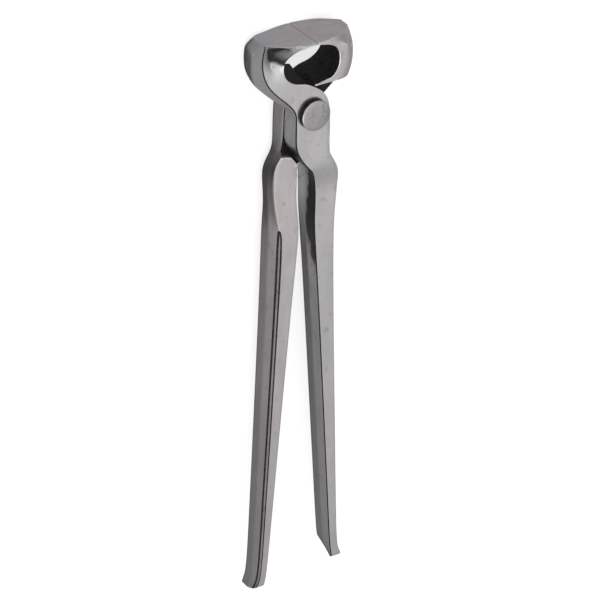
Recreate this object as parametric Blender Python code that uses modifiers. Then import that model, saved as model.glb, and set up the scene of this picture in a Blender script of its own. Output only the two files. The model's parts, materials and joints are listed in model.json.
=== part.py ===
"""Hoof nipper: two crossing forged halves that turn on one rivet.

The tool lies flat. +Y runs from the reins to the cutting edge, +Z is the rivet's axis, and X is the
way the jaws open. Both halves are one kind of forging: the rear one is the front one turned half a
turn about Y, with its jaw ground narrower. Each half is one layer thick at the lap joint: the front
half lies above the lap plane and the rear half below it, and jaws and reins widen past the joint.
"""

import math

import bmesh
import bpy
from mathutils import Matrix, Vector

MM = 0.001

# Driving dimensions
EDGE_REACH = 46.8 * MM  # rivet's axis to the cutting edges
REIN_REACH = 313.5 * MM  # rivet's axis to the tips of the reins
EDGE_LENGTH = 32.0 * MM  # cutting edge, along the rivet's axis
HEAD_WIDTH = 70.0 * MM  # across both jaws at their widest, were both like the front one
REAR_JAW = 0.90  # the rear half's jaw is ground narrower
REAR_FAR_SHARE = 0.84  # and its far side is ground back further
FRONT_FAR_SHARE = 0.96
FRONT_FAR_END = 12.0 * MM  # how far back the ground top's end reaches on the far side
REAR_FAR_END = 4.4 * MM
TOP_WIDTH = 58.0 * MM  # across the flat ground on top of the jaws
NECK_WIDTH = 24.0 * MM
LAYER = 13.0 * MM  # one half at the lap joint
WINDOW_WIDTH = 43.0 * MM  # hollow behind the edges, in a half's own layer
WINDOW_HEIGHT = 25.0 * MM
CHEEK_WINDOW_WIDTH = 31.0 * MM  # the same hollow at the far cheeks
TIP_SPREAD = 50.6 * MM  # between the middles of the reins' tips
HIP_WIDTH = 15.8 * MM  # rein just below the shoulder
WAIST_WIDTH = 13.4 * MM
TIP_WIDTH = 4.8 * MM
HIP_DEPTH = 19.4 * MM
TIP_DEPTH = 14.6 * MM
TIP_FLARE = 3.0 * MM  # the tips turn outwards
FRONT_SLANT = 6.5 * MM  # how much shorter the front half's tip is at its far side
REAR_SLANT = 2.5 * MM
REIN_DRAFT = 0.9 * MM  # a rein's sides swell this much to the parting line
NECK_DRAFT = 0.55 * MM  # and a neck's sides this much to the lap
HIP_SCOOP = 2.6 * MM  # how far the inner side of a hip is hollowed
REIN_FACET = 1.3 * MM  # facet along a rein's outer far edge
REIN_STAGGER = 9.0 * MM  # the front half's rein is this much shorter
FRONT_PAD = 0.4 * MM  # how far the far face of a hip stands out past the near one
REAR_PAD = 4.0 * MM
FRONT_LEAN = 1.6 * MM  # the same, for the rest of the rein
REAR_LEAN = -0.8 * MM
FRONT_BOW = 1.1 * MM  # how far the upper rein bends inwards
REAR_BOW = -1.1 * MM
RIVET_SHANK = 12.0 * MM
RIVET_HEAD = 19.4 * MM
RIVET_HEAD_HEIGHT = 3.6 * MM
RIVET_TAIL = 17.0 * MM
RIVET_TAIL_HEIGHT = 2.4 * MM

# Clearances
LAP_GAP = 0.3 * MM  # between the two lap faces
SEAM_GAP = 0.3 * MM  # between the closed cutting edges
RIVET_GAP = 0.3 * MM  # round the shank and under the head and tail
SHOULDER_GAP = 2.0 * MM  # from a rein's shoulder to the other half's neck
TAIL_GAP = 1.9 * MM  # from the boss to the far cheek's tail above it

SMOOTH_LEVELS = 2
CREASE = 0.62  # of the long edges
SOFT_CREASE = 0.22  # of the jaw's outer edge at its far side
SHARP_ANGLE = math.radians(34)
PARTING_ANGLE = math.radians(4)
ROUND_SEGMENTS = 48

STEEL = (0.60, 0.60, 0.61)
RIVET_STEEL = (0.52, 0.52, 0.54)

# Sizes that follow from them
HALF_EDGE = EDGE_LENGTH / 2
HALF_HEAD = HEAD_WIDTH / 2
HALF_TOP = TOP_WIDTH / 2
HALF_NECK = NECK_WIDTH / 2
HALF_SEAM = SEAM_GAP / 2
LAP = LAP_GAP / 2
EDGE_THICKNESS = 1.3 * MM
WINDOW_TOP = EDGE_REACH - EDGE_THICKNESS
WINDOW_FLOOR = WINDOW_TOP - WINDOW_HEIGHT
WINDOW_MIDDLE = (WINDOW_TOP + WINDOW_FLOOR) / 2
TAIL_FLOOR = WINDOW_FLOOR - 1.2 * MM  # underside of the far cheek's tail
SHOULDER = -2.5 * HALF_NECK  # where the neck ends


def point_on_window(width, turn):
    """A point of the hollow's left side. turn runs from 90 degrees at the edge round to 270."""
    angle = math.radians(turn)
    x = width / 2 * math.copysign(abs(math.cos(angle)) ** 0.72, math.cos(angle))
    y = WINDOW_HEIGHT / 2 * math.copysign(abs(math.sin(angle)) ** 0.92, math.sin(angle))
    return x, WINDOW_MIDDLE + y


def point_on_head(head, across, up):
    """A point of the jaw: across as a share of its half width, up from the tail to the edge."""
    return -head * across, TAIL_FLOOR + up * (EDGE_REACH - TAIL_FLOOR)


def top_outline_depth(x):
    """Half the depth of the ground top at x: an oval with blunt ends."""
    share = min(1.0, abs(x) / (HALF_TOP * 1.02))
    return HALF_EDGE * (1 - share**2.4) ** (1 / 2.4)


def middle_of(a, b, share=0.5):
    return tuple(p + (q - p) * share for p, q in zip(a, b))


def station(inner, outer, depths, lap_outer=None, lap_middle=None):
    """One row across the forging: three columns, their depths in front and places at the lap."""
    middle = lap_middle or middle_of(inner, outer)
    return {
        "front": [inner, middle, outer],
        "lap": [inner, middle, lap_outer or outer],
        "depths": depths,
    }


def jaw_stations(head):
    """Stations from the cutting edge round the jaw to the top of the boss."""
    rows = []
    for x_share, turn, ring_depth, valley_depth in (
        (0.0, 90, HALF_EDGE, HALF_EDGE),
        (0.30, 118, HALF_EDGE * 0.95, HALF_EDGE * 0.90),
        (0.66, 141, HALF_EDGE * 0.88, HALF_EDGE * 0.54),
        (1.0, 159, LAYER, LAYER * 0.38),
    ):
        x = -max(HALF_TOP * x_share, HALF_SEAM)
        inner = point_on_window(WINDOW_WIDTH, turn) if x_share else (-HALF_SEAM, WINDOW_TOP)
        depths = (ring_depth, valley_depth, top_outline_depth(x))
        rows.append(station(inner, (x, EDGE_REACH), depths))
    for turn, front, lap, valley, rim in (
        (177, (0.955, 0.78), (1.0, 0.80), 0.52, 0.62),
        (196, (0.985, 0.53), (1.035, 0.52), 0.78, 0.80),
        (216, (0.945, 0.26), (1.02, 0.25), 0.96, 0.94),
        (236, (0.80, 0.0), (0.945, 0.03), 1.0, 1.0),
    ):
        inner = point_on_window(WINDOW_WIDTH, turn)
        depths = (LAYER, LAYER * valley, LAYER * rim)
        rows.append(station(inner, point_on_head(head, *front), depths, point_on_head(head, *lap)))
    n = HALF_NECK
    for turn, front, lap in (
        (250, (-1.62 * n, 0.95 * n), (-2.10 * n, 1.00 * n)),
        (262, (-1.17 * n, 0.50 * n), (-1.45 * n, 0.44 * n)),
    ):
        rows.append(station(point_on_window(WINDOW_WIDTH, turn), front, (LAYER,) * 3, lap))
    for row, across in zip(rows[-3:], (0.56, 0.37, 0.10)):
        row["lap"][1] = (-head * across, TAIL_FLOOR - 0.6 * MM)
    rows[-1]["lap"][0] = (-0.22 * n, TAIL_FLOOR + 0.7 * MM)
    return rows


def neck_stations():
    """Stations of the boss and the neck. The inner column is now the tool's right-hand side."""
    n = HALF_NECK
    rows = []
    for turn, reach, y_left in ((88, 1.44, 0.10), (58, 1.22, -0.22), (24, 1.04, -0.60)):
        angle = math.radians(turn)
        height = min(reach * n * math.sin(angle), TAIL_FLOOR - TAIL_GAP)
        rows.append(((reach * n * math.cos(angle), height), (-n, y_left * n)))
    rows.append(((n, -0.45 * n), (-n, -1.05 * n)))
    rows.append(((n, -1.60 * n), (-0.99 * n, -1.78 * n)))
    stations = [station(a, b, (LAYER,) * 3) for a, b in rows]
    for row in stations[2:]:
        right, middle, left = row["lap"]
        row["lap"] = [(right[0] + NECK_DRAFT, right[1]), middle, (left[0] - NECK_DRAFT, left[1])]
    return stations


def shoulder_stations(pad):
    """Two stations where the neck swings over into its rein.

    At the lap and behind it, only the outer part goes on past the other half's neck, which mirrors
    this one. pad is how far the far face of the hip stands out past the near one.
    """
    n = HALF_NECK
    rows = []
    for right, left, back_right, back_left, spread, swing in (
        ((1.0, 0.22), (-0.60, 0.0), (1.48, 0.42), (1.04, 0.27), 0.55, 0.35),
        ((1.14, -0.20), (-0.12, -0.55), (1.72, -0.08), (0.64, -0.26), 1.05, 0.8),
    ):
        places = [(x * n, SHOULDER + y * n) for x, y in (right, left, back_right, back_left)]
        front_right, front_left, back_right, back_left = places
        row = station(front_right, front_left, (LAYER * 0.985,) * 3)
        clear_x = max(back_left[0], -front_left[0] + SHOULDER_GAP)
        row["lap"] = [middle_of(front_right, back_right, swing), (clear_x, back_left[1]), front_left]
        row["back"] = [(back_right[0] + spread * pad, back_right[1]), back_left]
        row["back_depth"] = HIP_DEPTH / 2
        rows.append(row)
    return rows


def rein_middle(share):
    """Middle line of the right-hand rein: waisted below the hip, then straight to the tip."""
    waist = 1.02 * HALF_NECK
    return waist + (TIP_SPREAD / 2 - waist) * share


def rein_stations(reach, pad, lean, bow, tip_slant):
    """Stations of the rein from its hip to its flared tip, which is cut on the slant.

    pad sets the far face of the hip outwards, lean sets the far face of the rest of the rein
    outwards, and bow bends the whole upper rein inwards.
    """
    hip = SHOULDER - 0.80 * HALF_NECK
    waist = SHOULDER - 3.8 * HALF_NECK
    run = -reach - waist
    deep = HIP_DEPTH / 2
    rows = [
        (hip, 0.88 * HALF_NECK, 1.16 * HIP_WIDTH, 0.75 * LAYER + 0.24 * deep, 0.0, 1.3 * pad, 0.0),
        (hip - 0.95 * HALF_NECK, 1.02 * HALF_NECK, HIP_WIDTH, deep, 0.0, 1.1 * pad, 0.0),
        (hip - 1.95 * HALF_NECK, 0.99 * HALF_NECK, 0.94 * HIP_WIDTH, deep, 0.0, 0.8 * pad, 0.0),
        (waist, rein_middle(0.0) - bow, WAIST_WIDTH * 1.06, deep, 0.0, lean, 0.0),
    ]
    for share, flare, leaning, slant in (
        (0.15, 0.0, 0.8, 0.0),
        (0.38, 0.0, 0.5, 0.0),
        (0.62, 0.0, 0.3, 0.0),
        (0.84, 0.0, 0.1, 0.0),
        (0.955, 0.06, 0.0, 0.10),
        (0.977, 0.65, 0.0, 0.70),
        (0.989, 1.0, 0.0, 0.92),
        (1.0, 0.8, 0.0, 1.0),
    ):
        width = WAIST_WIDTH + (TIP_WIDTH - WAIST_WIDTH) * share**0.8
        depth = HIP_DEPTH + (TIP_DEPTH - HIP_DEPTH) * share
        if share == 1.0:
            width, depth = width * 0.50, depth * 0.55
        x = rein_middle(share) - bow * (1 - share)
        rows.append((waist + run * share, x, width, depth / 2, flare, leaning * lean, slant))
    stations = []
    for y, x, width, depth, flare, far_shift, slant in rows:
        shift = TIP_FLARE * flare
        right = (x + width / 2 + shift, y)
        left = (x - width / 2 + 0.35 * shift, y)
        row = station(right, left, (depth,) * 3)
        rise = tip_slant * slant
        back_left = (left[0] + far_shift + (0.0 if y < hip else 1.6 * MM), y + rise)
        back_right = (right[0] + far_shift, y + rise * 0.8)
        row["back"] = [back_right, middle_of(back_right, back_left), back_left]
        row["lap"] = [middle_of(a, b) for a, b in zip(row["front"], row["back"])]
        scoop = HIP_SCOOP * max(0.0, 1 - (hip - y) / (hip - waist)) + REIN_DRAFT * (y > waist)
        for column, swell in ((0, REIN_DRAFT), (2, scoop - REIN_DRAFT)):
            x, mid_y = row["lap"][column]
            row["lap"][column] = (x + swell * min(1.0, width / WAIST_WIDTH), mid_y)
        row["back_depth"] = depth if y < hip else deep
        stations.append(row)
    for places in (stations[0]["lap"], stations[0]["back"]):
        x, y = middle_of(places[2], places[0], 0.02)
        places[1] = (x, y + 0.2 * HALF_NECK)
    return stations


def far_cheek_points(head, far_share, end_depth):
    """Where the jaw's columns stand at its far side, behind the other half's layer.

    The first stations have three columns; the last two are the tail, which has two. far_share
    is how much of the jaw's width is left at its far side, and end_depth how far back it reaches
    at the end of the ground top.
    """
    deep = HALF_EDGE
    points = [((-HALF_SEAM, WINDOW_TOP), (-HALF_SEAM, EDGE_REACH), (deep, deep))]
    for x_share, turn in ((0.30, 122), (0.66, 148), (1.0, 165)):
        x = -HALF_TOP * x_share
        inner = point_on_window(CHEEK_WINDOW_WIDTH, turn)
        outer_depth = max(top_outline_depth(x), end_depth * x_share**4)
        points.append((inner, (x, EDGE_REACH), (deep, outer_depth)))
    rise = 0.06 * (end_depth > HALF_EDGE / 2)
    for turn, across, up in ((180, 0.985, 0.78 + rise), (200, 1.0, 0.50), (222, 0.97, 0.22)):
        inner = point_on_window(CHEEK_WINDOW_WIDTH, turn)
        points.append((inner, point_on_head(head, across * far_share, up), (deep, deep * 0.93)))
    columns = [(a, middle_of(a, b), b, (d[0], d[0], d[1])) for a, b, d in points]
    last_inner = point_on_window(CHEEK_WINDOW_WIDTH, 236)
    middle = point_on_head(head, 0.52, 0.0)
    corner = point_on_head(head, 0.86 * far_share, 0.02)
    columns.append((last_inner, middle, corner, (deep, deep, deep * 0.95)))
    tail = []
    for x_share, height in ((-0.24, 2.9), (0.04, 1.1)):
        x = HALF_HEAD * x_share
        tail.append(((x, TAIL_FLOOR + height * MM), (x, TAIL_FLOOR), (deep, deep)))
    return columns, tail


def strip_of(bm, stations):
    """A flat strip of quads through the stations, two quads wide, at the lap plane."""
    first = [bm.verts.new((x, y, LAP)) for x, y in stations[0]["lap"]]
    edges = [bm.edges.new(pair) for pair in zip(first, first[1:])]
    rows = [first]
    for row_sizes in stations[1:]:
        made = bmesh.ops.extrude_edge_only(bm, edges=edges)["geom"]
        new = [v for v in made if isinstance(v, bmesh.types.BMVert)]
        edges = [e for e in made if isinstance(e, bmesh.types.BMEdge) and all(v in new for v in e.verts)]
        row = [next(n for n in new if any(e.other_vert(n) is v for e in n.link_edges)) for v in rows[-1]]
        for vert, (x, y) in zip(row, row_sizes["lap"]):
            vert.co = (x, y, LAP)
        rows.append(row)
    return rows


def extrude_from(bm, rows, cells):
    """Extrudes the faces between the given rows and columns. Returns old vertex to new vertex."""
    faces = []
    for row, column in cells:
        corners = {rows[row][column], rows[row][column + 1], rows[row + 1][column], rows[row + 1][column + 1]}
        faces.append(next(f for f in rows[row][column].link_faces if set(f.verts) == corners))
    old = {v for f in faces for v in f.verts}
    places = {tuple(round(c, 9) for c in v.co): v for v in old}
    region = faces + list({e for f in faces for e in f.edges}) + list(old)
    made = bmesh.ops.extrude_face_region(bm, geom=region)["geom"]
    moved = {}
    for vert in made:
        if isinstance(vert, bmesh.types.BMVert):
            moved[places[tuple(round(c, 9) for c in vert.co)]] = vert
    return moved


def half_cage(head, far_share, end_depth, reach, pad, lean, bow, tip_slant):
    """The cage of the front half: left jaw, boss in the front layer, right rein."""
    jaw, neck = jaw_stations(head), neck_stations()
    shoulder, rein = shoulder_stations(pad), rein_stations(reach, pad, lean, bow, tip_slant)
    stations = jaw + neck + shoulder + rein
    bm = bmesh.new()
    rows = strip_of(bm, stations)
    every_cell = [(r, c) for r in range(len(rows) - 1) for c in (0, 1)]
    front = extrude_from(bm, rows, every_cell)
    for row, sizes in zip(rows, stations):
        for vert, (x, y), depth in zip(row, sizes["front"], sizes["depths"]):
            front[vert].co = (x, y, depth)
    columns, tail = far_cheek_points(head, far_share, end_depth)
    jaw_cells = [(r, c) for r in range(len(columns) - 1) for c in (0, 1)]
    tail_cells = [(len(columns) - 1 + r, 0) for r in range(len(tail))]
    far = extrude_from(bm, rows, jaw_cells + tail_cells)
    soft = []
    for number, (row, (a, b, c, depths)) in enumerate(zip(rows, columns)):
        for vert, (x, y), depth in zip(row, (a, b, c), depths):
            far[vert].co = (x, y, -depth)
        if number > 2:
            soft.append(far[row[2]])
    for row, (a, b, depths) in zip(rows[len(columns):], tail):
        for vert, (x, y), depth in zip(row, (a, b), depths):
            far[vert].co = (x, y, -depth)
    first = len(jaw) + len(neck)
    hip = first + len(shoulder)
    rein_cells = [(r, 0) for r in range(first, hip)]
    rein_cells += [(r, c) for r in range(hip, len(rows) - 1) for c in (0, 1)]
    back = extrude_from(bm, rows, rein_cells)
    for row, sizes in zip(rows[first:], stations[first:]):
        for vert, (x, y) in zip(row, sizes["back"]):
            back[vert].co = (x, y, -sizes["back_depth"])
    outer = [back[row[0]] for row in rows[hip + 3 :]]
    facet = [e for e in bm.edges if e.verts[0] in outer and e.verts[1] in outer]
    bmesh.ops.recalc_face_normals(bm, faces=bm.faces)
    bmesh.ops.bevel(bm, geom=facet, offset=REIN_FACET, segments=1, profile=0.5, affect="EDGES", material=-1)
    crease_sharp_edges(bm, set(soft))
    return bm


def front_sizes():
    reach = REIN_REACH - REIN_STAGGER
    jaw = (HALF_HEAD, FRONT_FAR_SHARE, FRONT_FAR_END)
    return (*jaw, reach, FRONT_PAD, FRONT_LEAN, FRONT_BOW, FRONT_SLANT)


def rear_sizes():
    jaw = (HALF_HEAD * REAR_JAW, REAR_FAR_SHARE, REAR_FAR_END)
    return (*jaw, REIN_REACH, REAR_PAD, REAR_LEAN, REAR_BOW, REAR_SLANT)


def crease_sharp_edges(bm, soft):
    """Creases every edge that turns sharply, and the parting line round the outside.

    The edges between soft vertices stay rounder.
    """
    layer = bm.edges.layers.float.new("crease_edge")
    for edge in bm.edges:
        if len(edge.link_faces) != 2:
            continue
        angle = edge.calc_face_angle()
        parting = all(abs(v.co.z - LAP) < 0.01 * MM for v in edge.verts) and angle > PARTING_ANGLE
        if angle > SHARP_ANGLE or parting:
            edge[layer] = SOFT_CREASE if soft.issuperset(edge.verts) else CREASE


def material(name, colour, roughness):
    made = bpy.data.materials.new(name)
    made.use_nodes = True
    shader = made.node_tree.nodes["Principled BSDF"]
    shader.inputs["Base Color"].default_value = (*colour, 1)
    shader.inputs["Metallic"].default_value = 1
    shader.inputs["Roughness"].default_value = roughness
    return made


def shade(obj):
    obj.data.shade_smooth()
    obj.data.set_sharp_from_angle(angle=SHARP_ANGLE)


def cylinder(name, radius, low, high, collection):
    """A closed round bar along the rivet's axis, from low to high."""
    bm = bmesh.new()
    bmesh.ops.create_cone(
        bm,
        cap_ends=True,
        segments=ROUND_SEGMENTS,
        radius1=radius,
        radius2=radius,
        depth=high - low,
        matrix=Matrix.Translation((0, 0, (low + high) / 2)),
    )
    mesh = bpy.data.meshes.new(name)
    bm.to_mesh(mesh)
    bm.free()
    made = bpy.data.objects.new(name, mesh)
    collection.objects.link(made)
    return made


def half_mesh(sizes, hole, collection):
    """The finished mesh of one half, smoothed from its cage and drilled for the rivet."""
    bm = half_cage(*sizes)
    mesh = bpy.data.meshes.new("half")
    bm.to_mesh(mesh)
    bm.free()
    blank = bpy.data.objects.new("half_blank", mesh)
    collection.objects.link(blank)
    smooth = blank.modifiers.new("smooth", "SUBSURF")
    smooth.levels = smooth.render_levels = SMOOTH_LEVELS
    drill = blank.modifiers.new("rivet_hole", "BOOLEAN")
    drill.operation = "DIFFERENCE"
    drill.object = hole
    bpy.context.view_layer.update()
    graph = bpy.context.evaluated_depsgraph_get()
    finished = bpy.data.meshes.new_from_object(blank.evaluated_get(graph))
    finished.name = "half"
    bpy.data.objects.remove(blank)
    return finished


def make_half(name, mesh, turned, steel, collection, pivot):
    made = bpy.data.objects.new(name, mesh)
    made.data.materials.clear()
    made.data.materials.append(steel)
    made.parent = pivot
    if turned:
        made.rotation_euler.y = math.pi
    collection.objects.link(made)
    shade(made)
    return made


def make_rivet(steel, collection, pivot):
    """One turned piece: flat head in front, shank, and a tail peened to a low dome behind."""
    shank, head, tail = RIVET_SHANK / 2, RIVET_HEAD / 2, RIVET_TAIL / 2
    under_head = LAYER + RIVET_GAP
    top = under_head + RIVET_HEAD_HEIGHT
    chamfer = 0.8 * MM
    profile = [
        (0, top),
        (head - chamfer, top),
        (head, top - chamfer),
        (head, under_head),
        (shank, under_head),
        (shank, -under_head),
        (tail, -under_head),
    ]
    steps = 6
    for step in range(1, steps + 1):
        angle = math.pi / 2 * step / steps
        profile.append((tail * math.cos(angle), -under_head - RIVET_TAIL_HEIGHT * math.sin(angle)))
    profile[-1] = (0, profile[-1][1])
    mesh = bpy.data.meshes.new("pivot_rivet")
    mesh.from_pydata([(x, 0, z) for x, z in profile], [(i, i + 1) for i in range(len(profile) - 1)], [])
    made = bpy.data.objects.new("pivot_rivet", mesh)
    made.data.materials.append(steel)
    made.parent = pivot
    collection.objects.link(made)
    turn = made.modifiers.new("turn", "SCREW")
    turn.steps = turn.render_steps = ROUND_SEGMENTS
    turn.use_merge_vertices = True
    turn.merge_threshold = 0.01 * MM
    return made


def foot_of(objects):
    """Middle of the underside of the objects' box."""
    graph = bpy.context.evaluated_depsgraph_get()
    corners = []
    for obj in objects:
        evaluated = obj.evaluated_get(graph)
        corners += [evaluated.matrix_world @ Vector(c) for c in evaluated.bound_box]
    low = [min(c[i] for c in corners) for i in range(3)]
    high = [max(c[i] for c in corners) for i in range(3)]
    return Vector(((low[0] + high[0]) / 2, (low[1] + high[1]) / 2, low[2]))


def build():
    for obj in list(bpy.data.objects):
        bpy.data.objects.remove(obj)
    parts = bpy.data.collections.new("hoof_nipper")
    cutters = bpy.data.collections.new("cutters")
    for collection in (parts, cutters):
        bpy.context.scene.collection.children.link(collection)
    pivot = bpy.data.objects.new("pivot", None)
    parts.objects.link(pivot)
    forged = material("forged_steel", STEEL, 0.3)
    riveted = material("rivet_steel", RIVET_STEEL, 0.45)
    hole = cylinder("rivet_hole", RIVET_SHANK / 2 + RIVET_GAP, -LAYER, 2 * LAYER, cutters)
    hole.hide_render = True
    hole.display_type = "WIRE"
    front_mesh = half_mesh(front_sizes(), hole, cutters)
    rear_mesh = half_mesh(rear_sizes(), hole, cutters)
    front = make_half("front_half", front_mesh, False, forged, parts, pivot)
    rear = make_half("rear_half", rear_mesh, True, forged, parts, pivot)
    rivet = make_rivet(riveted, parts, pivot)
    bpy.context.view_layer.update()
    pivot.location = -foot_of([front, rear, rivet])
    bpy.context.view_layer.update()


build()
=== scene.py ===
"""Looks for the hoof nipper: two crossing forgings on one peened rivet, lying on a pale floor."""

import json
import math

import bmesh
import bpy
from mathutils import Matrix, Vector, noise


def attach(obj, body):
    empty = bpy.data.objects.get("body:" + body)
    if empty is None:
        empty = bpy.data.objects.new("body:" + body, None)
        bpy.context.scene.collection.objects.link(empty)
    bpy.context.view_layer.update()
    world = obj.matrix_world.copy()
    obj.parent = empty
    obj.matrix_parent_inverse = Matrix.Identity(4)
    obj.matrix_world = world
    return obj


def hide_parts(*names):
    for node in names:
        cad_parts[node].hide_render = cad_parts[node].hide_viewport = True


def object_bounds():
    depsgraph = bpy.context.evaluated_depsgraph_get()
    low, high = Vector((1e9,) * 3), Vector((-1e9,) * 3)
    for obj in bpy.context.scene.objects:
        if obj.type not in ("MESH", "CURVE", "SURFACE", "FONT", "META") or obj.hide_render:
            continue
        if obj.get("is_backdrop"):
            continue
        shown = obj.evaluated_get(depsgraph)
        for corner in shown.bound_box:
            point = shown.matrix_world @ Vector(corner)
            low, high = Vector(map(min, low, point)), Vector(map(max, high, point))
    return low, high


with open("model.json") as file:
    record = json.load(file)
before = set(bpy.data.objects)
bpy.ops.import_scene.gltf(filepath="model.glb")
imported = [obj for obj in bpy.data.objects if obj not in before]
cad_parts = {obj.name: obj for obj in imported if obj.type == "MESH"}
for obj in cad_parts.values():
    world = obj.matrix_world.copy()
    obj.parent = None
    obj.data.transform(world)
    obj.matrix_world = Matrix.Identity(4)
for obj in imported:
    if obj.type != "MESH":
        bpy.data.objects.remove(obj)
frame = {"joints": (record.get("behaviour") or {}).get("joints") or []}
cad_low, cad_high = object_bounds()

# --- Front forging ------------------------------------------------------------------------------
# One drop forging of carbon steel: the left jaw, the boss in the front layer and the right rein.
# It is ground flat on top and along its faces, turns on the rivet's shank, and has a duller facet
# along its rein's outer far edge, between two fine grooves.
MM = 0.001
AXIS = Vector(frame["joints"][0]["pos_m"])
EDGE_REACH = 46.8 * MM  # rivet's axis to the cutting edges
REIN_REACH = 313.5 * MM  # rivet's axis to the tip of the rear half's rein, the longer one
EDGE_LENGTH = 32.0 * MM  # cutting edge, along the rivet's axis
HEAD_WIDTH = 70.0 * MM  # across both jaws at their widest, were both like the front one
FRONT_FAR_SHARE = 0.96  # how much of the jaw's width is left at its far side
FRONT_FAR_END = 12.0 * MM  # how far back the ground top's end reaches on the far side
TOP_WIDTH = 58.0 * MM  # across the flat ground on top of the jaws
NECK_WIDTH = 24.0 * MM
LAYER = 13.0 * MM  # one half at the lap joint
WINDOW_WIDTH = 43.0 * MM  # hollow behind the edges, in a half's own layer
WINDOW_HEIGHT = 25.0 * MM
CHEEK_WINDOW_WIDTH = 31.0 * MM  # the same hollow at the far cheeks
TIP_SPREAD = 50.6 * MM  # between the middles of the reins' tips
HIP_WIDTH = 15.8 * MM  # rein just below the shoulder
WAIST_WIDTH = 13.4 * MM
TIP_WIDTH = 4.8 * MM
HIP_DEPTH = 19.4 * MM
TIP_DEPTH = 14.6 * MM
TIP_FLARE = 3.0 * MM  # the tips turn outwards
FRONT_SLANT = 6.5 * MM  # how much shorter the front half's tip is at its far side
REIN_DRAFT = 0.9 * MM  # a rein's sides swell this much to the parting line
NECK_DRAFT = 0.55 * MM  # and a neck's sides this much to the lap
HIP_SCOOP = 2.6 * MM  # how far the inner side of a hip is hollowed
REIN_FACET = 1.3 * MM  # facet along a rein's outer far edge
REIN_STAGGER = 9.0 * MM  # the front half's rein is this much shorter
FRONT_PAD = 0.4 * MM  # how far the far face of a hip stands out past the near one
FRONT_LEAN = 1.6 * MM  # the same, for the rest of the rein
FRONT_BOW = 1.1 * MM  # how far the upper rein bends inwards
RIVET_SHANK = 12.0 * MM
GROOVE_WIDTH = 0.22 * MM  # round the facet
FACET_RISE = 0.1 * MM  # the facet stands out this much from its grooves
SIDE_EASE = 0.45 * MM  # eased edge down the left of the front face

# Clearances
LAP_GAP = 0.3 * MM  # between the two lap faces
SEAM_GAP = 0.3 * MM  # between the closed cutting edges
RIVET_GAP = 0.3 * MM  # round the shank and under the head and tail
SHOULDER_GAP = 2.0 * MM  # from a rein's shoulder to the other half's neck
TAIL_GAP = 1.9 * MM  # from the boss to the far cheek's tail above it

# Finishing
SMOOTH_LEVELS = 3
EASE = 0.4 * MM  # of every sharp edge
EASE_SEGMENTS = 3
EASE_ANGLE = math.radians(28)
CREASE = 0.62  # of the long edges
SOFT_CREASE = 0.22  # of the jaw's outer edge at its far side
SHARP_ANGLE = math.radians(34)  # edges that turn more than this are creased
PARTING_ANGLE = math.radians(4)  # and at the parting line, more than this
ROUND_STEPS = 96  # round the rivet and its hole
FIT = (0.9994, 0.9999, 1.0)  # holds the eased shapes inside the frame's own sizes
GROUND, SCALE_AND_SHADE, FACET = range(3)  # places of a forging's materials

# Sizes that follow from them
HALF_EDGE = EDGE_LENGTH / 2
HALF_HEAD = HEAD_WIDTH / 2
HALF_TOP = TOP_WIDTH / 2
HALF_NECK = NECK_WIDTH / 2
HALF_SEAM = SEAM_GAP / 2
LAP = LAP_GAP / 2
EDGE_THICKNESS = 1.3 * MM
WINDOW_TOP = EDGE_REACH - EDGE_THICKNESS
WINDOW_FLOOR = WINDOW_TOP - WINDOW_HEIGHT
WINDOW_MIDDLE = (WINDOW_TOP + WINDOW_FLOOR) / 2
TAIL_FLOOR = WINDOW_FLOOR - 1.2 * MM  # underside of the far cheek's tail
SHOULDER = -2.5 * HALF_NECK  # where the neck ends


def point_on_window(width, turn):
    """A point of the hollow's left side. turn runs from 90 degrees at the edge round to 270."""
    angle = math.radians(turn)
    x = width / 2 * math.copysign(abs(math.cos(angle)) ** 0.72, math.cos(angle))
    y = WINDOW_HEIGHT / 2 * math.copysign(abs(math.sin(angle)) ** 0.92, math.sin(angle))
    return x, WINDOW_MIDDLE + y


def point_on_head(head, across, up):
    """A point of the jaw: across as a share of its half width, up from the tail to the edge."""
    return -head * across, TAIL_FLOOR + up * (EDGE_REACH - TAIL_FLOOR)


def top_outline_depth(x):
    """Half the depth of the ground top at x: an oval with blunt ends."""
    share = min(1.0, abs(x) / (HALF_TOP * 1.02))
    return HALF_EDGE * (1 - share**2.4) ** (1 / 2.4)


def middle_of(a, b, share=0.5):
    return tuple(p + (q - p) * share for p, q in zip(a, b))


def station(inner, outer, depths, lap_outer=None, lap_middle=None):
    """One row across the forging: three columns, their depths in front and places at the lap."""
    middle = lap_middle or middle_of(inner, outer)
    return {
        "front": [inner, middle, outer],
        "lap": [inner, middle, lap_outer or outer],
        "depths": depths,
    }


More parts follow.
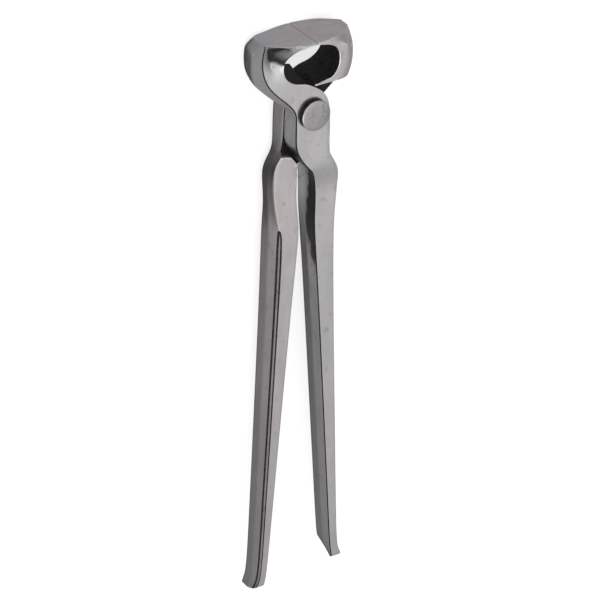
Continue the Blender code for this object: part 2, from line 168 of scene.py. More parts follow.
def jaw_stations(head):
    """Stations from the cutting edge round the jaw to the top of the boss."""
    rows = []
    for x_share, turn, ring_depth, valley_depth in (
        (0.0, 90, HALF_EDGE, HALF_EDGE),
        (0.30, 118, HALF_EDGE * 0.95, HALF_EDGE * 0.90),
        (0.66, 141, HALF_EDGE * 0.88, HALF_EDGE * 0.54),
        (1.0, 159, LAYER, LAYER * 0.38),
    ):
        x = -max(HALF_TOP * x_share, HALF_SEAM)
        inner = point_on_window(WINDOW_WIDTH, turn) if x_share else (-HALF_SEAM, WINDOW_TOP)
        depths = (ring_depth, valley_depth, top_outline_depth(x))
        rows.append(station(inner, (x, EDGE_REACH), depths))
    for turn, front, lap, valley, rim in (
        (177, (0.955, 0.78), (1.0, 0.80), 0.52, 0.62),
        (196, (0.985, 0.53), (1.035, 0.52), 0.78, 0.80),
        (216, (0.945, 0.26), (1.02, 0.25), 0.96, 0.94),
        (236, (0.80, 0.0), (0.945, 0.03), 1.0, 1.0),
    ):
        inner = point_on_window(WINDOW_WIDTH, turn)
        depths = (LAYER, LAYER * valley, LAYER * rim)
        rows.append(station(inner, point_on_head(head, *front), depths, point_on_head(head, *lap)))
    n = HALF_NECK
    for turn, front, lap in (
        (250, (-1.62 * n, 0.95 * n), (-2.10 * n, 1.00 * n)),
        (262, (-1.17 * n, 0.50 * n), (-1.45 * n, 0.44 * n)),
    ):
        rows.append(station(point_on_window(WINDOW_WIDTH, turn), front, (LAYER,) * 3, lap))
    for row, across in zip(rows[-3:], (0.56, 0.37, 0.10)):
        row["lap"][1] = (-head * across, TAIL_FLOOR - 0.6 * MM)
    rows[-1]["lap"][0] = (-0.22 * n, TAIL_FLOOR + 0.7 * MM)
    return rows


def neck_stations():
    """Stations of the boss and the neck. The inner column is now the tool's right-hand side."""
    n = HALF_NECK
    rows = []
    for turn, reach, y_left in ((88, 1.44, 0.10), (58, 1.22, -0.22), (24, 1.04, -0.60)):
        angle = math.radians(turn)
        height = min(reach * n * math.sin(angle), TAIL_FLOOR - TAIL_GAP)
        rows.append(((reach * n * math.cos(angle), height), (-n, y_left * n)))
    rows.append(((n, -0.45 * n), (-n, -1.05 * n)))
    rows.append(((n, -1.60 * n), (-0.99 * n, -1.78 * n)))
    stations = [station(a, b, (LAYER,) * 3) for a, b in rows]
    for row in stations[2:]:
        right, middle, left = row["lap"]
        row["lap"] = [(right[0] + NECK_DRAFT, right[1]), middle, (left[0] - NECK_DRAFT, left[1])]
    return stations


def shoulder_stations(pad):
    """Two stations where the neck swings over into its rein.

    At the lap and behind it, only the outer part goes on past the other half's neck, which mirrors
    this one. pad is how far the far face of the hip stands out past the near one.
    """
    n = HALF_NECK
    rows = []
    for right, left, back_right, back_left, spread, swing in (
        ((1.0, 0.22), (-0.60, 0.0), (1.48, 0.42), (1.04, 0.27), 0.55, 0.35),
        ((1.14, -0.20), (-0.12, -0.55), (1.72, -0.08), (0.64, -0.26), 1.05, 0.8),
    ):
        places = [(x * n, SHOULDER + y * n) for x, y in (right, left, back_right, back_left)]
        front_right, front_left, back_right, back_left = places
        row = station(front_right, front_left, (LAYER * 0.985,) * 3)
        clear_x = max(back_left[0], -front_left[0] + SHOULDER_GAP)
        row["lap"] = [middle_of(front_right, back_right, swing), (clear_x, back_left[1]), front_left]
        row["back"] = [(back_right[0] + spread * pad, back_right[1]), back_left]
        row["back_depth"] = HIP_DEPTH / 2
        rows.append(row)
    return rows


def rein_middle(share):
    """Middle line of the right-hand rein: waisted below the hip, then straight to the tip."""
    waist = 1.02 * HALF_NECK
    return waist + (TIP_SPREAD / 2 - waist) * share


def rein_stations(reach, pad, lean, bow, tip_slant):
    """Stations of the rein from its hip to its flared tip, which is cut on the slant.

    pad sets the far face of the hip outwards, lean sets the far face of the rest of the rein
    outwards, and bow bends the whole upper rein inwards.
    """
    hip = SHOULDER - 0.80 * HALF_NECK
    waist = SHOULDER - 3.8 * HALF_NECK
    run = -reach - waist
    deep = HIP_DEPTH / 2
    rows = [
        (hip, 0.88 * HALF_NECK, 1.16 * HIP_WIDTH, 0.75 * LAYER + 0.24 * deep, 0.0, 1.3 * pad, 0.0),
        (hip - 0.95 * HALF_NECK, 1.02 * HALF_NECK, HIP_WIDTH, deep, 0.0, 1.1 * pad, 0.0),
        (hip - 1.95 * HALF_NECK, 0.99 * HALF_NECK, 0.94 * HIP_WIDTH, deep, 0.0, 0.8 * pad, 0.0),
        (waist, rein_middle(0.0) - bow, WAIST_WIDTH * 1.06, deep, 0.0, lean, 0.0),
    ]
    for share, flare, leaning, slant in (
        (0.15, 0.0, 0.8, 0.0),
        (0.38, 0.0, 0.5, 0.0),
        (0.62, 0.0, 0.3, 0.0),
        (0.84, 0.0, 0.1, 0.0),
        (0.955, 0.06, 0.0, 0.10),
        (0.977, 0.65, 0.0, 0.70),
        (0.989, 1.0, 0.0, 0.92),
        (1.0, 0.8, 0.0, 1.0),
    ):
        width = WAIST_WIDTH + (TIP_WIDTH - WAIST_WIDTH) * share**0.8
        depth = HIP_DEPTH + (TIP_DEPTH - HIP_DEPTH) * share
        if share == 1.0:
            width, depth = width * 0.50, depth * 0.55
        x = rein_middle(share) - bow * (1 - share)
        rows.append((waist + run * share, x, width, depth / 2, flare, leaning * lean, slant))
    stations = []
    for y, x, width, depth, flare, far_shift, slant in rows:
        shift = TIP_FLARE * flare
        right = (x + width / 2 + shift, y)
        left = (x - width / 2 + 0.35 * shift, y)
        row = station(right, left, (depth,) * 3)
        rise = tip_slant * slant
        back_left = (left[0] + far_shift + (0.0 if y < hip else 1.6 * MM), y + rise)
        back_right = (right[0] + far_shift, y + rise * 0.8)
        row["back"] = [back_right, middle_of(back_right, back_left), back_left]
        row["lap"] = [middle_of(a, b) for a, b in zip(row["front"], row["back"])]
        scoop = HIP_SCOOP * max(0.0, 1 - (hip - y) / (hip - waist)) + REIN_DRAFT * (y > waist)
        for column, swell in ((0, REIN_DRAFT), (2, scoop - REIN_DRAFT)):
            x, mid_y = row["lap"][column]
            row["lap"][column] = (x + swell * min(1.0, width / WAIST_WIDTH), mid_y)
        row["back_depth"] = depth if y < hip else deep
        stations.append(row)
    for places in (stations[0]["lap"], stations[0]["back"]):
        x, y = middle_of(places[2], places[0], 0.02)
        places[1] = (x, y + 0.2 * HALF_NECK)
    return stations


def far_cheek_points(head, far_share, end_depth):
    """Where the jaw's columns stand at its far side, behind the other half's layer.

    The first stations have three columns; the last two are the tail, which has two. far_share
    is how much of the jaw's width is left at its far side, and end_depth how far back it reaches
    at the end of the ground top.
    """
    deep = HALF_EDGE
    points = [((-HALF_SEAM, WINDOW_TOP), (-HALF_SEAM, EDGE_REACH), (deep, deep))]
    for x_share, turn in ((0.30, 122), (0.66, 148), (1.0, 165)):
        x = -HALF_TOP * x_share
        inner = point_on_window(CHEEK_WINDOW_WIDTH, turn)
        outer_depth = max(top_outline_depth(x), end_depth * x_share**4)
        points.append((inner, (x, EDGE_REACH), (deep, outer_depth)))
    rise = 0.06 * (end_depth > HALF_EDGE / 2)
    for turn, across, up in ((180, 0.985, 0.78 + rise), (200, 1.0, 0.50), (222, 0.97, 0.22)):
        inner = point_on_window(CHEEK_WINDOW_WIDTH, turn)
        points.append((inner, point_on_head(head, across * far_share, up), (deep, deep * 0.93)))
    columns = [(a, middle_of(a, b), b, (d[0], d[0], d[1])) for a, b, d in points]
    last_inner = point_on_window(CHEEK_WINDOW_WIDTH, 236)
    middle = point_on_head(head, 0.52, 0.0)
    corner = point_on_head(head, 0.86 * far_share, 0.02)
    columns.append((last_inner, middle, corner, (deep, deep, deep * 0.95)))
    tail = []
    for x_share, height in ((-0.24, 2.9), (0.04, 1.1)):
        x = HALF_HEAD * x_share
        tail.append(((x, TAIL_FLOOR + height * MM), (x, TAIL_FLOOR), (deep, deep)))
    return columns, tail


def strip_of(bm, stations):
    """A flat strip of quads through the stations, two quads wide, at the lap plane."""
    first = [bm.verts.new((x, y, LAP)) for x, y in stations[0]["lap"]]
    edges = [bm.edges.new(pair) for pair in zip(first, first[1:])]
    rows = [first]
    for row_sizes in stations[1:]:
        made = bmesh.ops.extrude_edge_only(bm, edges=edges)["geom"]
        new = [v for v in made if isinstance(v, bmesh.types.BMVert)]
        edges = [e for e in made if isinstance(e, bmesh.types.BMEdge)]
        edges = [e for e in edges if all(v in new for v in e.verts)]
        row = [next(n for n in new if any(e.other_vert(n) is v for e in n.link_edges)) for v in rows[-1]]
        for vert, (x, y) in zip(row, row_sizes["lap"]):
            vert.co = (x, y, LAP)
        rows.append(row)
    return rows


def extrude_from(bm, rows, cells):
    """Extrudes the faces between the given rows and columns. Returns old vertex to new vertex."""
    faces = []
    for row, column in cells:
        here, after = rows[row][column : column + 2], rows[row + 1][column : column + 2]
        corners = {*here, *after}
        faces.append(next(f for f in here[0].link_faces if set(f.verts) == corners))
    old = list(dict.fromkeys(v for f in faces for v in f.verts))  # a set has no fixed order
    edges = list(dict.fromkeys(e for f in faces for e in f.edges))
    places = {tuple(round(c, 9) for c in v.co): v for v in old}
    region = faces + edges + old
    made = bmesh.ops.extrude_face_region(bm, geom=region)["geom"]
    moved = {}
    for vert in made:
        if isinstance(vert, bmesh.types.BMVert):
            moved[places[tuple(round(c, 9) for c in vert.co)]] = vert
    return moved


def flat_bevel(bm, edges, width):
    """Takes the given edges off flat, and returns the faces that this leaves."""
    made = bmesh.ops.bevel(
        bm,
        geom=edges,
        offset=width,
        segments=1,
        profile=0.5,
        affect="EDGES",
        material=-1,
    )
    return made["faces"]


def half_cage(head, far_share, end_depth, reach, pad, lean, bow, tip_slant):
    """The cage of the front half: left jaw, boss in the front layer, right rein.

    head is the jaw's half width and reach the rein's. The other sizes are those of
    far_cheek_points, shoulder_stations and rein_stations.
    """
    jaw, neck = jaw_stations(head), neck_stations()
    shoulder, rein = shoulder_stations(pad), rein_stations(reach, pad, lean, bow, tip_slant)
    stations = jaw + neck + shoulder + rein
    bm = bmesh.new()
    rows = strip_of(bm, stations)
    every_cell = [(r, c) for r in range(len(rows) - 1) for c in (0, 1)]
    front = extrude_from(bm, rows, every_cell)
    for row, sizes in zip(rows, stations):
        for vert, (x, y), depth in zip(row, sizes["front"], sizes["depths"]):
            front[vert].co = (x, y, depth)
    columns, tail = far_cheek_points(head, far_share, end_depth)
    jaw_cells = [(r, c) for r in range(len(columns) - 1) for c in (0, 1)]
    tail_cells = [(len(columns) - 1 + r, 0) for r in range(len(tail))]
    far = extrude_from(bm, rows, jaw_cells + tail_cells)
    soft = []
    for number, (row, (a, b, c, depths)) in enumerate(zip(rows, columns)):
        for vert, (x, y), depth in zip(row, (a, b, c), depths):
            far[vert].co = (x, y, -depth)
        if number > 2:
            soft.append(far[row[2]])
    for row, (a, b, depths) in zip(rows[len(columns):], tail):
        for vert, (x, y), depth in zip(row, (a, b), depths):
            far[vert].co = (x, y, -depth)
    first = len(jaw) + len(neck)
    hip = first + len(shoulder)
    rein_cells = [(r, 0) for r in range(first, hip)]
    rein_cells += [(r, c) for r in range(hip, len(rows) - 1) for c in (0, 1)]
    back = extrude_from(bm, rows, rein_cells)
    for row, sizes in zip(rows[first:], stations[first:]):
        for vert, (x, y) in zip(row, sizes["back"]):
            back[vert].co = (x, y, -sizes["back_depth"])
    outer = [back[row[0]] for row in rows[hip + 3 :]]
    facet = [e for e in bm.edges if e.verts[0] in outer and e.verts[1] in outer]
    bmesh.ops.recalc_face_normals(bm, faces=bm.faces)
    facets = flat_bevel(bm, facet, REIN_FACET)
    raised = bmesh.ops.inset_region(
        bm,
        faces=facets,
        thickness=GROOVE_WIDTH,
        depth=FACET_RISE,
        use_even_offset=True,
    )
    left = [front[row[2]] for row in rows[3:-1]]
    side = [e for e in bm.edges if e.verts[0] in left and e.verts[1] in left]
    grooves = raised["faces"] + flat_bevel(bm, side, SIDE_EASE)
    bm.normal_update()
    crease_sharp_edges(bm, set(soft))
    # The hollow and the far tail take the black scale material as painted shade.
    hollow = {v for row in rows[: len(jaw) + 1] for v in (row[0], front[row[0]], far.get(row[0]))}
    tail_rows = rows[len(columns) - 1 : len(jaw)]
    tail_end = {v for row in tail_rows for v in (*row[:2], *map(far.get, row[:2]))}
    give_materials(bm, hollow, tail_end, grooves, facets)
    return bm


def front_sizes():
    """The front half's own sizes, in the order that half_cage takes them."""
    reach = REIN_REACH - REIN_STAGGER
    jaw = (HALF_HEAD, FRONT_FAR_SHARE, FRONT_FAR_END)
    return (*jaw, reach, FRONT_PAD, FRONT_LEAN, FRONT_BOW, FRONT_SLANT)


def give_materials(bm, hollow, tail_end, grooves, facets):
    """Scale on the unground lap and grooves; the hollow and far tail get it as painted shade."""
    for face in bm.faces:
        in_lap = all(abs(v.co.z - LAP) < 0.01 * MM for v in face.verts)
        in_tail = abs(face.normal.z) < 0.7 and tail_end.issuperset(face.verts)
        scale_and_shade_face = in_lap or in_tail or hollow.issuperset(face.verts)
        face.material_index = SCALE_AND_SHADE if scale_and_shade_face else GROUND
    for faces, place in ((grooves, SCALE_AND_SHADE), (facets, FACET)):
        for face in faces:
            if face.is_valid:
                face.material_index = place


def crease_sharp_edges(bm, soft):
    """Creases every edge that turns sharply, and the parting line round the outside.

    The edges between soft vertices stay rounder.
    """
    layer = bm.edges.layers.float.new("crease_edge")
    for edge in bm.edges:
        if len(edge.link_faces) != 2:
            continue
        angle = edge.calc_face_angle()
        parting = all(abs(v.co.z - LAP) < 0.01 * MM for v in edge.verts) and angle > PARTING_ANGLE
        if angle > SHARP_ANGLE or parting:
            edge[layer] = SOFT_CREASE if soft.issuperset(edge.verts) else CREASE


def steel(name, colour, dark_colour, roughness, grain_size=2600.0, painted_shade_places=(), turned=1):
    """Ground and lightly polished tool steel: lengthwise grain, mottling, worn edges, stains.

    The places it is given are recesses where shade is painted into the colour as black, with less metal
    in it. Each has a middle measured from the rivet, its reach along each axis, and the way its surface
    faces. turned is -1 on the rear half, whose places are those of the front one turned half a turn.
    """
    made = bpy.data.materials.new(name)
    made.use_nodes = True
    nodes, links = made.node_tree.nodes, made.node_tree.links
    shader = nodes["Principled BSDF"]
    shader.inputs["Metallic"].default_value = 1.0
    place = nodes.new("ShaderNodeTexCoord")

    def noise_of(scale, size, detail=3.0):
        mapping = nodes.new("ShaderNodeMapping")
        mapping.inputs["Scale"].default_value = scale
        links.new(place.outputs["Object"], mapping.inputs["Vector"])
        made = nodes.new("ShaderNodeTexNoise")
        made.inputs["Scale"].default_value = size
        made.inputs["Detail"].default_value = detail
        links.new(mapping.outputs["Vector"], made.inputs["Vector"])
        return made.outputs["Fac"]

    def mapped(value, low, high, start=0.3, end=0.7):
        made = nodes.new("ShaderNodeMapRange")
        made.inputs["From Min"].default_value = start
        made.inputs["From Max"].default_value = end
        made.inputs["To Min"].default_value = low
        made.inputs["To Max"].default_value = high
        links.new(value, made.inputs["Value"])
        return made.outputs["Result"]

    def mixed(factor, first, second):
        made = nodes.new("ShaderNodeMix")
        made.data_type = "RGBA"
        links.new(factor, made.inputs["Factor"])
        for socket, value in (("A", first), ("B", second)):
            if isinstance(value, tuple):
                made.inputs[socket].default_value = (*value, 1)
            else:
                links.new(value, made.inputs[socket])
        return made.outputs["Result"]

    def combined(operation, first, second):
        made = nodes.new("ShaderNodeMath")
        made.operation = operation
        links.new(first, made.inputs[0])
        links.new(second, made.inputs[1])
        return made.outputs["Value"]

    def measured(operation, value, other=(0, 0, 0), output="Value"):
        made = nodes.new("ShaderNodeVectorMath")
        made.operation = operation
        links.new(value, made.inputs[0])
        made.inputs[1].default_value = other
        return made.outputs[output]

    grain = noise_of((1.0, 0.045, 1.0), grain_size)
    fine = noise_of((1.0, 0.3, 1.0), 5200.0, 2.0)
    cloud = noise_of((1.0, 0.55, 1.0), 75.0, 5.0)
    stain = noise_of((1.0, 0.8, 1.0), 230.0, 6.0)
    tint = noise_of((1.0, 0.7, 1.0), 38.0, 2.0)
    ground = mixed(mapped(cloud, 0.0, 1.0), dark_colour, colour)
    warm = tuple(c * f for c, f in zip(colour, (1.06, 0.985, 0.975)))
    ground = mixed(mapped(tint, 0.0, 0.55, 0.42, 0.68), ground, warm)
    ground = mixed(mapped(stain, 0.0, 0.55, 0.60, 0.74), ground, tuple(c * 0.62 for c in dark_colour))
    along = nodes.new("ShaderNodeSeparateXYZ")
    links.new(place.outputs["Object"], along.inputs["Vector"])
    # The colour grows darker towards the reins' tips.
    tipward_darkening = mapped(along.outputs["Y"], 0.55, 0.0, AXIS.y - REIN_REACH, AXIS.y - 60 * MM)
    ground = mixed(tipward_darkening, ground, tuple(c * 0.72 for c in dark_colour))
    pointed = nodes.new("ShaderNodeNewGeometry").outputs["Pointiness"]
    worn = mapped(pointed, 0.0, 0.75, 0.515, 0.56)
    ground = mixed(worn, ground, tuple(min(1.0, c * 1.32) for c in colour))
    # Painted shade: black painted into each given recess, on faces that turn its way, with a ragged rim.
    painted_shade_mask = None
    normal = nodes.new("ShaderNodeNewGeometry").outputs["Normal"]
    for middle, reach, faces in painted_shade_places:
        centre = AXIS + Vector((turned * middle[0], middle[1], turned * middle[2])) * MM
        away = measured("SUBTRACT", place.outputs["Object"], centre, "Vector")
        share = measured("DIVIDE", away, Vector(reach) * MM, "Vector")
        ragged = combined("ADD", measured("LENGTH", share), mapped(stain, -0.12, 0.12))
        side = measured("DOT_PRODUCT", normal, Vector((turned * faces[0], faces[1], turned * faces[2])))
        inside = mapped(ragged, 0.97, 0.0, 0.80, 1.08)
        found = combined("MULTIPLY", inside, mapped(side, 0.0, 1.0, 0.05, 0.45))
        painted_shade_mask = found if painted_shade_mask is None else combined("MAXIMUM", painted_shade_mask, found)
    if painted_shade_mask is not None:
        ground = mixed(painted_shade_mask, ground, (0.012, 0.012, 0.015))
        links.new(mapped(painted_shade_mask, 1.0, 0.25, 0.0, 1.0), shader.inputs["Metallic"])
        shader.inputs["Specular IOR Level"].default_value = 0.2
    links.new(ground, shader.inputs["Base Color"])
    rough = mapped(cloud, roughness + 0.05, roughness - 0.04)
    rough = combined("ADD", mapped(grain, -0.04, 0.06), rough)
    rough = combined("ADD", rough, mapped(stain, 0.0, 0.12, 0.58, 0.72))
    links.new(rough, shader.inputs["Roughness"])
    height = combined("ADD", mapped(grain, 0.0, 1.0), mapped(fine, 0.0, 0.5))
    height = combined("ADD", height, mapped(stain, 0.0, -1.6, 0.60, 0.72))
    bump = nodes.new("ShaderNodeBump")
    bump.inputs["Strength"].default_value = 0.16
    bump.inputs["Distance"].default_value = 0.08 * MM
    links.new(height, bump.inputs["Height"])
    wave = nodes.new("ShaderNodeBump")
    wave.inputs["Strength"].default_value = 0.30
    wave.inputs["Distance"].default_value = 0.6 * MM
    links.new(noise_of((1.0, 0.35, 1.0), 95.0, 1.0), wave.inputs["Height"])
    links.new(wave.outputs["Normal"], bump.inputs["Normal"])
    links.new(bump.outputs["Normal"], shader.inputs["Normal"])
    return made


def scale_and_painted_shade(name):
    """Black oxide skin left by forging, oily in the lap; it also serves as painted shade in hollows."""
    made = bpy.data.materials.new(name)
    made.use_nodes = True
    nodes, links = made.node_tree.nodes, made.node_tree.links
    shader = nodes["Principled BSDF"]
    place = nodes.new("ShaderNodeTexCoord").outputs["Object"]
    crust = nodes.new("ShaderNodeTexNoise")
    crust.inputs["Scale"].default_value = 420.0
    crust.inputs["Detail"].default_value = 6.0
    links.new(place, crust.inputs["Vector"])
    shade = nodes.new("ShaderNodeValToRGB")
    shade.color_ramp.elements[0].position = 0.35
    shade.color_ramp.elements[0].color = (0.006, 0.006, 0.008, 1)
    shade.color_ramp.elements[1].position = 0.75
    shade.color_ramp.elements[1].color = (0.035, 0.030, 0.034, 1)
    links.new(crust.outputs["Fac"], shade.inputs["Fac"])
    links.new(shade.outputs["Color"], shader.inputs["Base Color"])
    rough = nodes.new("ShaderNodeMapRange")
    rough.inputs["To Min"].default_value = 0.45
    rough.inputs["To Max"].default_value = 0.75
    links.new(crust.outputs["Fac"], rough.inputs["Value"])
    links.new(rough.outputs["Result"], shader.inputs["Roughness"])
    shader.inputs["Specular IOR Level"].default_value = 0.12
    bump = nodes.new("ShaderNodeBump")
    bump.inputs["Strength"].default_value = 0.4
    bump.inputs["Distance"].default_value = 0.2 * MM
    links.new(crust.outputs["Fac"], bump.inputs["Height"])
    links.new(bump.outputs["Normal"], shader.inputs["Normal"])
    return made


def put_in_order(bm):
    """Sorts edges and faces by their corners, because the operators' own order isn't repeatable."""
    bm.verts.index_update()
    for parts in (bm.edges, bm.faces):
        ordered = sorted(parts, key=lambda part: sorted(v.index for v in part.verts))
        for number, part in enumerate(ordered):
            part.index = number
        parts.sort()


def show(name, bm, *materials):
    """Puts a mesh into the scene at its place in the frame, with its materials."""
    bmesh.ops.scale(bm, verts=bm.verts, vec=FIT)
    bmesh.ops.translate(bm, verts=bm.verts, vec=AXIS)
    put_in_order(bm)
    mesh = bpy.data.meshes.new(name)
    bm.to_mesh(mesh)
    bm.free()
    for edge in mesh.edges:  # and nor is which end of an edge comes first
        edge.vertices = sorted(edge.vertices)
    made = bpy.data.objects.new(name, mesh)
    bpy.context.scene.collection.objects.link(made)
    for material in materials:
        mesh.materials.append(material)
    mesh.shade_smooth()
    return made


def drilled_and_eased(made):
    """Smooths a cage, drills the rivet's hole and eases every sharp edge."""
    drill_mesh = bmesh.new()
    bmesh.ops.create_cone(
        drill_mesh,
        cap_ends=True,
        segments=ROUND_STEPS,
        radius1=RIVET_SHANK / 2 + RIVET_GAP,
        radius2=RIVET_SHANK / 2 + RIVET_GAP,
        depth=4 * LAYER,
        matrix=Matrix.Translation(AXIS),
    )
    mesh = bpy.data.meshes.new("drill")
    drill_mesh.to_mesh(mesh)
    drill_mesh.free()
    drill = bpy.data.objects.new("drill", mesh)
    bpy.context.scene.collection.objects.link(drill)
    smooth = made.modifiers.new("smooth", "SUBSURF")
    smooth.levels = smooth.render_levels = SMOOTH_LEVELS
    hole = made.modifiers.new("rivet_hole", "BOOLEAN")
    hole.operation = "DIFFERENCE"
    hole.object = drill
    edge = made.modifiers.new("edge", "BEVEL")
    edge.width = EASE
    edge.segments = EASE_SEGMENTS
    edge.limit_method = "ANGLE"
    edge.angle_limit = EASE_ANGLE
    weight = made.modifiers.new("weight", "WEIGHTED_NORMAL")
    weight.keep_sharp = False
    bpy.context.view_layer.update()
    graph = bpy.context.evaluated_depsgraph_get()
    finished = bpy.data.meshes.new_from_object(made.evaluated_get(graph))
    finished.name = made.name
    made.modifiers.clear()
    made.data = finished
    bpy.data.objects.remove(drill)


FACET_COLOUR, FACET_DARK, FACET_ROUGHNESS = (0.20, 0.195, 0.20), (0.17, 0.165, 0.17), 0.45
# Painted shade in two recesses of the steel, which lie in shadow.
PAINTED_SHADE_PLACES = (  # millimetres from the rivet
    ((-21.8, 41.6, 7.0), (8.6, 6.0, 15.0), (0.0, -0.3, 0.9)),  # corner under the ground top
    ((3.0, -56.0, 9.0), (12.0, 54.0, 10.5), (-1.0, 0.0, 0.0)),  # front of the hip's inner side
)
front_steel = steel("front_steel", (0.60, 0.59, 0.595), (0.50, 0.495, 0.505), 0.27, painted_shade_places=PAINTED_SHADE_PLACES)
front_scale_and_shade = scale_and_painted_shade("front_scale_and_shade")
front_facet = steel("front_facet", FACET_COLOUR, FACET_DARK, FACET_ROUGHNESS)
front = show("front_forging", half_cage(*front_sizes()), front_steel, front_scale_and_shade, front_facet)
drilled_and_eased(front)
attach(front, "front")
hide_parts("front_half")

# --- Rear forging -------------------------------------------------------------------------------
# The same drop forging turned half a turn: the right jaw, ground narrower, the boss in the rear
# layer and the left rein. The rivet's shank is fast in it.
REAR_JAW = 0.90  # the jaw's width, as a share of the front one's
REAR_FAR_SHARE = 0.84  # and its far side is ground back further
REAR_FAR_END = 4.4 * MM
REAR_PAD = 4.0 * MM
REAR_LEAN = -0.8 * MM
REAR_BOW = -1.1 * MM
REAR_SLANT = 2.5 * MM


def rear_sizes():
    """The rear half's own sizes, in the order that half_cage takes them."""
    jaw = (HALF_HEAD * REAR_JAW, REAR_FAR_SHARE, REAR_FAR_END)
    return (*jaw, REIN_REACH, REAR_PAD, REAR_LEAN, REAR_BOW, REAR_SLANT)


cage = half_cage(*rear_sizes())
bmesh.ops.rotate(cage, verts=cage.verts, cent=(0, 0, 0), matrix=Matrix.Rotation(math.pi, 3, "Y"))
REAR_COLOUR, REAR_DARK = (0.60, 0.575, 0.58), (0.50, 0.475, 0.485)
rear_steel = steel("rear_steel", REAR_COLOUR, REAR_DARK, 0.27, painted_shade_places=PAINTED_SHADE_PLACES, turned=-1)
rear_scale_and_shade = scale_and_painted_shade("rear_scale_and_shade")
rear_facet = steel("rear_facet", FACET_COLOUR, FACET_DARK, FACET_ROUGHNESS)
rear = show("rear_forging", cage, rear_steel, rear_scale_and_shade, rear_facet)
drilled_and_eased(rear)
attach(rear, "rear")
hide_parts("rear_half")

# --- Rivet --------------------------------------------------------------------------------------
# One steel rivet driven through both bosses: its head is hammered flat over the front one and its
# tail is peened to a low dome behind the rear one. Its side and shank keep black scale, which on the
# head's side is painted shade.
RIVET_HEAD = 19.4 * MM
RIVET_HEAD_HEIGHT = 3.6 * MM
RIVET_TAIL = 17.0 * MM
RIVET_TAIL_HEIGHT = 2.4 * MM
FLAT_SHARE = 0.90  # of the head's radius, before its edge rounds over
FLAT_RINGS = 16
TAIL_RINGS = 8
HEAD_DROP = 0.15 * MM  # room for the dents' rims under the head's full height
FLAT_DROP = 0.25 * MM  # how far the flat falls away to its rim
UNDER_HEAD = LAYER + RIVET_GAP
HEAD_TOP = LAYER + RIVET_GAP + RIVET_HEAD_HEIGHT
profile = [(0, HEAD_TOP - HEAD_DROP)]
for ring in range(1, FLAT_RINGS + 1):
    radius = RIVET_HEAD / 2 * FLAT_SHARE * ring / FLAT_RINGS
    profile.append((radius, HEAD_TOP - HEAD_DROP - FLAT_DROP * (ring / FLAT_RINGS) ** 4))
for turn in (20, 45, 70, 90):
    angle = math.radians(turn)
    profile.append((
        RIVET_HEAD / 2 * (FLAT_SHARE + 0.10 * math.sin(angle)) - 0.02 * MM,
        HEAD_TOP - 0.40 * MM - 0.9 * MM * (1 - math.cos(angle)),
    ))
profile += [(RIVET_HEAD / 2 - 0.25 * MM, UNDER_HEAD), (RIVET_SHANK / 2, UNDER_HEAD)]
profile += [(RIVET_SHANK / 2, -UNDER_HEAD), (RIVET_TAIL / 2, -UNDER_HEAD)]
for ring in range(1, TAIL_RINGS + 1):
    angle = math.pi / 2 * ring / TAIL_RINGS
    low = -UNDER_HEAD - RIVET_TAIL_HEIGHT * math.sin(angle)
    profile.append((RIVET_TAIL / 2 * math.cos(angle) if ring < TAIL_RINGS else 0, low))
bm = bmesh.new()
verts = [bm.verts.new((x, 0, z)) for x, z in profile]
edges = [bm.edges.new(pair) for pair in zip(verts, verts[1:])]
bmesh.ops.spin(
    bm,
    geom=verts + edges,
    cent=(0, 0, 0),
    axis=(0, 0, 1),
    angle=2 * math.pi,
    steps=ROUND_STEPS,
    use_merge=True,
)
bmesh.ops.remove_doubles(bm, verts=bm.verts, dist=0.01 * MM)
bmesh.ops.recalc_face_normals(bm, faces=bm.faces)
for vert in bm.verts:  # hammer marks on the head
    if vert.co.z > HEAD_TOP - 1.0 * MM:
        dents = 0.6 * noise.noise(vert.co * 420) + noise.noise(vert.co * 1500)
        vert.co.z += min(0.12 * MM, 0.17 * MM * dents - 0.04 * MM)
# Painted shade: the black on the head's side stands in for its shadow.
for face in bm.faces:  # the top and the tail are bright, and all between them is black
    height = face.calc_center_median().z
    on_top = abs(face.normal.z) > 0.35 and height >= HEAD_TOP - 1.6 * MM
    on_tail = height < -UNDER_HEAD - 0.2 * MM
    face.material_index = GROUND if on_top or on_tail else SCALE_AND_SHADE
rivet_steel = steel("rivet_steel", (0.45, 0.45, 0.465), (0.30, 0.30, 0.315), 0.36, 900.0)
rivet = show("peened_rivet", bm, rivet_steel, scale_and_painted_shade("rivet_scale_and_shade"))
rivet.data.set_sharp_from_angle(angle=math.radians(50))
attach(rivet, "rear")
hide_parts("pivot_rivet")

# --- Floor and light ----------------------------------------------------------------------------
# A pale seamless floor that glows a little and isn't seen in the steel. The studio's light is soft
# and comes from above, with a tall softbox on the left and a low fill behind the tool.
FLOOR_SIZE = 30
FLOOR_GLOW = 0.68
bm = bmesh.new()
under_tool = Matrix.Translation((0, 0, cad_low.z))
bmesh.ops.create_grid(bm, x_segments=1, y_segments=1, size=FLOOR_SIZE, matrix=under_tool)
mesh = bpy.data.meshes.new("floor")
bm.to_mesh(mesh)
bm.free()
floor = bpy.data.objects.new("floor", mesh)
bpy.context.scene.collection.objects.link(floor)
pale = bpy.data.materials.new("pale_floor")
pale.use_nodes = True
surface = pale.node_tree.nodes["Principled BSDF"]
surface.inputs["Base Color"].default_value = (0.50, 0.50, 0.50, 1)
surface.inputs["Roughness"].default_value = 1.0
surface.inputs["Emission Color"].default_value = (1, 1, 1, 1)
surface.inputs["Emission Strength"].default_value = FLOOR_GLOW
mesh.materials.append(pale)
floor.visible_glossy = False
floor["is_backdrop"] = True

world = bpy.data.worlds.new("studio")
bpy.context.scene.world = world
world.use_nodes = True
nodes, links = world.node_tree.nodes, world.node_tree.links
direction = nodes.new("ShaderNodeTexCoord").outputs["Generated"]


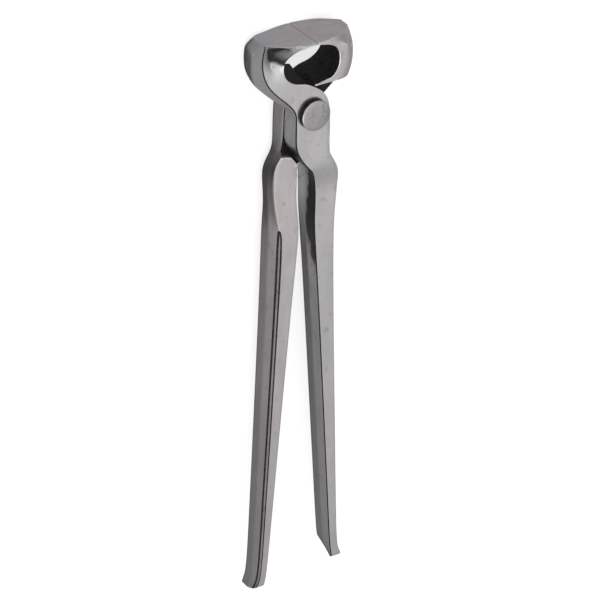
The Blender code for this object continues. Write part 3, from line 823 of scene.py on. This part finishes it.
def facing(towards):
    """How squarely the sky's direction faces the given one."""
    made = nodes.new("ShaderNodeVectorMath")
    made.operation = "DOT_PRODUCT"
    links.new(direction, made.inputs[0])
    made.inputs[1].default_value = Vector(towards).normalized()
    return made.outputs["Value"]


def ramp_of(value, stops, low, high):
    """Turns a value from low to high into a brightness through the given stops."""
    span = nodes.new("ShaderNodeMapRange")
    span.inputs["From Min"].default_value = low
    span.inputs["From Max"].default_value = high
    links.new(value, span.inputs["Value"])
    made = nodes.new("ShaderNodeValToRGB")
    made.color_ramp.interpolation = "EASE"
    for number, (at, grey) in enumerate(stops):
        if number > 1:
            made.color_ramp.elements.new((at - low) / (high - low))
        made.color_ramp.elements[number].position = (at - low) / (high - low)
        violet = 0.05 * max(0.0, 1 - grey / 0.3)
        made.color_ramp.elements[number].color = (grey, grey * (1 - violet), grey * (1 + violet), 1)
    links.new(span.outputs["Result"], made.inputs["Fac"])
    return made.outputs["Color"]


SKY = 1.25  # the brightest part of the sky
OVERHEAD = (  # how squarely the sky faces up, and how bright it is there
    (-1, 0.04),
    (-0.88, 0.08),
    (-0.69, 0.38),
    (-0.45, 0.50),
    (0, 0.40),
    (0.3, 0.5),
    (0.75, 0.88),
    (1, 1.25),
)
light = ramp_of(facing((-0.15, 0.1, 1)), [(at, grey / SKY) for at, grey in OVERHEAD], -1, 1)
for towards, start, end, grey in (
    ((0.49, 0.454, -0.743), 0.55, 0.97, 0.20),  # low fill behind the tool
    ((-0.74, -0.45, 0.49), 0.84, 0.98, 1.25),  # tall softbox on the left
):
    lobe = ramp_of(facing(towards), [(start, 0), (end, grey / SKY)], 0.4, 1)
    both = nodes.new("ShaderNodeMix")
    both.data_type = "RGBA"
    both.blend_type = "ADD"
    both.inputs["Factor"].default_value = 1.0
    links.new(light, both.inputs["A"])
    links.new(lobe, both.inputs["B"])
    light = both.outputs["Result"]
background = nodes["Background"]
background.inputs["Strength"].default_value = SKY
links.new(light, background.inputs["Color"])

# --- Camera -------------------------------------------------------------------------------------
# A long lens from the right and above, with the reins' tips towards the viewer. It looks at a point
# below the rivet, near the middle of the tool.
TURN, TILT, ROLL = math.radians(33.5), math.radians(27), math.radians(1.3)
LENS = 612
DISTANCE = 5.95
ACROSS, DOWN = 0.94 * MM, 113.5 * MM  # from the rivet to the point looked at
right = Vector((math.cos(TURN), 0, math.sin(TURN)))
up = Vector((math.sin(TURN) * math.sin(TILT), math.cos(TILT), -math.cos(TURN) * math.sin(TILT)))
right, up = right * math.cos(ROLL) + up * math.sin(ROLL), up * math.cos(ROLL) - right * math.sin(ROLL)
back = right.cross(up)
camera_data = bpy.data.cameras.new("camera")
camera_data.lens = LENS
camera_data.clip_end = 100
camera = bpy.data.objects.new("camera", camera_data)
bpy.context.scene.collection.objects.link(camera)
camera.matrix_world = Matrix((right, up, back)).transposed().to_4x4()
camera.location = AXIS - right * ACROSS - up * DOWN + back * DISTANCE
bpy.context.scene.camera = camera
bpy.context.scene.view_settings.view_transform = "Standard"

low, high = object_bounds()
